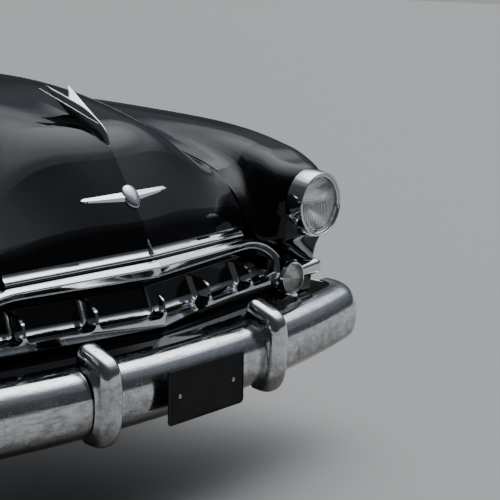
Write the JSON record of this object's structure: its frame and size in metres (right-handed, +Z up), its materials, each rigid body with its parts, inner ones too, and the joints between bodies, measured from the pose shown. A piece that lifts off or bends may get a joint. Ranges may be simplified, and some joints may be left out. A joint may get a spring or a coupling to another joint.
{
  "type": "car front end assembly",
  "caption": "Front end of a 1950s saloon car: hinged bonnet, rounded wings, lamps, toothed grille and wrap-round bumper on the front of its frame rails.",
  "frame": {"origin": "centre of the four bolt holes in the undersides of the two frame rails, where the front end bolts to the rest of the car", "axes": "+X to the car's left, +Y towards the car's rear, +Z up; the nose faces -Y"},
  "size_m": [1.9486, 1.64, 0.8883],
  "materials": {
    "chrome": "polished",
    "clear_glass": "gloss",
    "frame_black": "matte",
    "paint": "gloss",
    "plate_black": "satin",
    "plated": "satin",
    "radiator_black": "matte",
    "reflector": "polished",
    "underbody": "satin"
  },
  "bodies": {
    "front_end": {"bonnet_lock": "plated", "bumper_bar": "chrome", "bumper_iron_left": "frame_black", "bumper_iron_right": "frame_black", "frame_rail_left": "frame_black", "frame_rail_right": "frame_black", "front_crossmember": "frame_black", "gravel_pan": "paint", "grille_panel": "paint", "grille_stay_left": "underbody", "grille_stay_right": "underbody", "grille_tooth_bar": "chrome", "grille_top_bar": "chrome", "headlamp_bezel_left": "chrome", "headlamp_bezel_right": "chrome", "headlamp_bowl_left": "reflector", "headlamp_bowl_right": "reflector", "headlamp_lens_left": "clear_glass", "headlamp_lens_right": "clear_glass", "headlamp_ring_left": "chrome", "headlamp_ring_right": "chrome", "hinge_bracket_left": "plated", "hinge_bracket_right": "plated", "number_plate": "plate_black", "overrider_left": "chrome", "overrider_right": "chrome", "plate_bracket": "frame_black", "radiator": "radiator_black", "radiator_support": "underbody", "radiator_tank_low": "radiator_black", "radiator_tank_top": "radiator_black", "side_lamp_lens_left": "clear_glass", "side_lamp_lens_right": "clear_glass", "side_lamp_shell_left": "chrome", "side_lamp_shell_right": "chrome", "side_lamp_shroud_left": "chrome", "side_lamp_shroud_right": "chrome", "side_lamp_spear_left": "chrome", "side_lamp_spear_right": "chrome", "wing_apron_left": "underbody", "wing_apron_right": "underbody", "wing_left": "paint", "wing_right": "paint"},
    "bonnet": {"bonnet_badge": "chrome", "bonnet_frame": "underbody", "bonnet_lip": "chrome", "bonnet_ornament": "chrome", "bonnet_skin": "paint", "bonnet_striker": "plated", "hinge_arm_left": "plated", "hinge_arm_right": "plated"}
  },
  "joints": [
    {"name": "bonnet_hinge", "type": "hinge", "parent": "front_end", "child": "bonnet", "pos_m": [0, 0.01, 0.68], "axis": [-1, 0, 0], "range_deg": [0, 45]}
  ]
}
